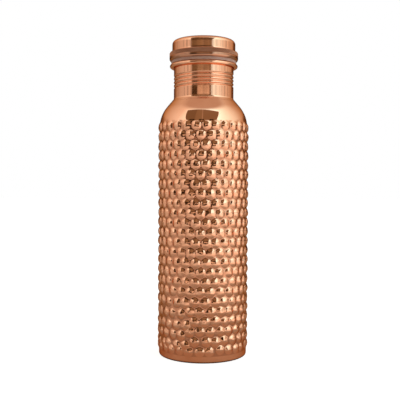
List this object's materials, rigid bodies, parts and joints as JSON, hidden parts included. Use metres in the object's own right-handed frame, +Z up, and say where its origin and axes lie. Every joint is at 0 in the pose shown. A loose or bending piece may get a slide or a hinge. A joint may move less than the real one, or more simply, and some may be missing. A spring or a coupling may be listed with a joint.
{
  "type": "water bottle",
  "caption": "Slim round metal drinking bottle with a hammered body, sloping shoulder, straight neck with a rolled thread, and a screw lid with a knurled grip band.",
  "frame": {"origin": "centre of the foot, on the surface the bottle stands on", "axes": "+Z up along the bottle's axis, from the foot to the lid; -Y towards the viewer of the picture"},
  "size_m": [0.076, 0.076, 0.2625],
  "materials": {
    "copper_hammered": "polished, hammered",
    "copper_polished": "polished",
    "silicone": "translucent grey, satin"
  },
  "bodies": {
    "bottle": {"body_shell": "copper_hammered", "base_plate": "copper_polished", "neck": "copper_polished", "mouth_bead_wire": "copper_polished"},
    "gasket": {"lid_gasket": "silicone"},
    "lid": {"lid_cap": "copper_polished", "lid_plug": "copper_polished", "lid_grip_ring": "copper_polished"}
  },
  "joints": [
    {"name": "lid_lift", "type": "slide", "parent": "bottle", "child": "gasket", "axis": [0, 0, 1], "range_m": [0, 0.024]},
    {"name": "lid_turn", "type": "hinge", "parent": "gasket", "child": "lid", "pos_m": [0, 0, 0.244], "axis": [0, 0, 1], "range_deg": [0, 2880]}
  ],
  "couplings": [
    {"joint": "lid_lift", "follows": "lid_turn", "m_per_rad": 0.00047746}
  ]
}
